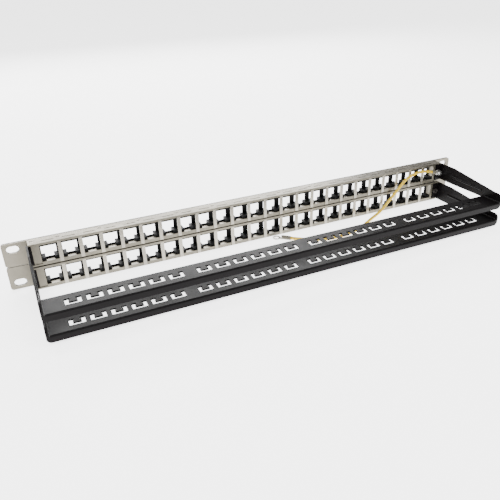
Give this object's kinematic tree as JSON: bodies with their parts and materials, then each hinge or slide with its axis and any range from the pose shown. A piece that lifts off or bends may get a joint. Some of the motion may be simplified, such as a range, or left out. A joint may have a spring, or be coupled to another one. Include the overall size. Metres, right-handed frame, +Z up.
{
  "type": "patch panel",
  "caption": "19 inch patch panel, one rack unit high: two stacked half-unit rows of ports, each with a black cable bracket behind it, and an earth wire with ring lugs.",
  "frame": {"origin": "middle of the panel's footprint, at the height of the surface it stands on", "axes": "+X along the panel, -Y the front face with the ports, +Z up"},
  "size_m": [0.4826, 0.1002, 0.0437],
  "materials": {
    "front_black": "fine satin black powder coat",
    "frame_steel": "plain zinc-plated sheet, slightly warm",
    "divider_steel": "plain zinc-plated sheet",
    "module_black": "moulded, fine grain",
    "bracket_black": "satin black powder coat",
    "screw_black": "black zinc",
    "clinch_steel": "zinc plated",
    "nut_steel": "bright nickel plate",
    "lug_tin": "tin-plated copper",
    "sleeve_grey": "moulded vinyl",
    "wire_yellow": "vinyl insulation"
  },
  "bodies": {
    "root": {"lower_front_plate": "front_black", "lower_frame": "frame_steel", "lower_port_dividers": "divider_steel", "lower_port_module_1": "module_black", "lower_port_module_2": "module_black", "lower_port_module_3": "module_black", "lower_port_module_4": "module_black", "lower_cable_bracket": "bracket_black", "upper_front_plate": "front_black", "upper_frame": "frame_steel", "upper_port_dividers": "divider_steel", "upper_port_module_1": "module_black", "upper_port_module_2": "module_black", "upper_port_module_3": "module_black", "upper_port_module_4": "module_black", "upper_cable_bracket": "bracket_black", "lower_bracket_screw": "screw_black", "lower_clinch_nut": "clinch_steel", "earth_screw": "nut_steel", "earth_nut": "nut_steel", "earth_lock_washer": "nut_steel", "fixed_ring_lug": "lug_tin", "fixed_lug_sleeve": "sleeve_grey", "free_ring_lug": "lug_tin", "free_lug_sleeve": "sleeve_grey", "earth_wire": "wire_yellow"}
  },
  "joints": []
}
